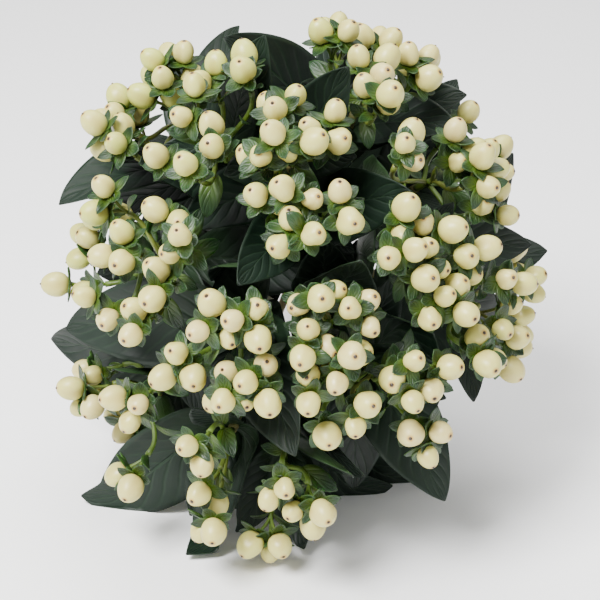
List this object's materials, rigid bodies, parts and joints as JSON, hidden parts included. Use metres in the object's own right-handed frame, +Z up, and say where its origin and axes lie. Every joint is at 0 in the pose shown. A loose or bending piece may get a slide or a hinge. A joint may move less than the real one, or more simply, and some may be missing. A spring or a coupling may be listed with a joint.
{
  "type": "hypericum berry bunch",
  "caption": "Hand-tied bunch of cut hypericum: a dome of ivory berries in leafy green sepals over large dark leaves, woody stems in a rubber band, lying down.",
  "frame": {"origin": "middle of the box that the bunch fills, on the surface that it lies on", "axes": "+Z up from the surface, -Y the way that the dome of berries faces, +Y along the stems to their cut ends"},
  "size_m": [0.216, 0.3774, 0.2046],
  "materials": {
    "leafy_stem": "satin dark green leaves on woody stems",
    "berry_spray": "satin ivory berries with green sepals and stalks",
    "tie_band": "matt tan rubber"
  },
  "bodies": {
    "root": {"leafy_stem_top": "leafy_stem", "leafy_stem_upper_left_outer": "leafy_stem", "leafy_stem_upper_left": "leafy_stem", "leafy_stem_upper_middle": "leafy_stem", "leafy_stem_centre": "leafy_stem", "leafy_stem_upper_right": "leafy_stem", "leafy_stem_right": "leafy_stem", "leafy_stem_lower_right_outer": "leafy_stem", "leafy_stem_lower_middle": "leafy_stem", "leafy_stem_left": "leafy_stem", "leafy_stem_lower_left": "leafy_stem", "leafy_stem_lower_left_outer": "leafy_stem", "leafy_stem_bottom_left": "leafy_stem", "leafy_stem_bottom": "leafy_stem", "leafy_stem_lower_right": "leafy_stem", "berry_spray_top": "berry_spray", "berry_spray_upper_left_outer": "berry_spray", "berry_spray_upper_left": "berry_spray", "berry_spray_upper_middle": "berry_spray", "berry_spray_centre": "berry_spray", "berry_spray_upper_right": "berry_spray", "berry_spray_right": "berry_spray", "berry_spray_lower_right_outer": "berry_spray", "berry_spray_lower_middle": "berry_spray", "berry_spray_left": "berry_spray", "berry_spray_lower_left": "berry_spray", "berry_spray_lower_left_outer": "berry_spray", "berry_spray_bottom_left": "berry_spray", "berry_spray_bottom": "berry_spray", "berry_spray_lower_right": "berry_spray", "tie_band": "tie_band"}
  },
  "joints": []
}
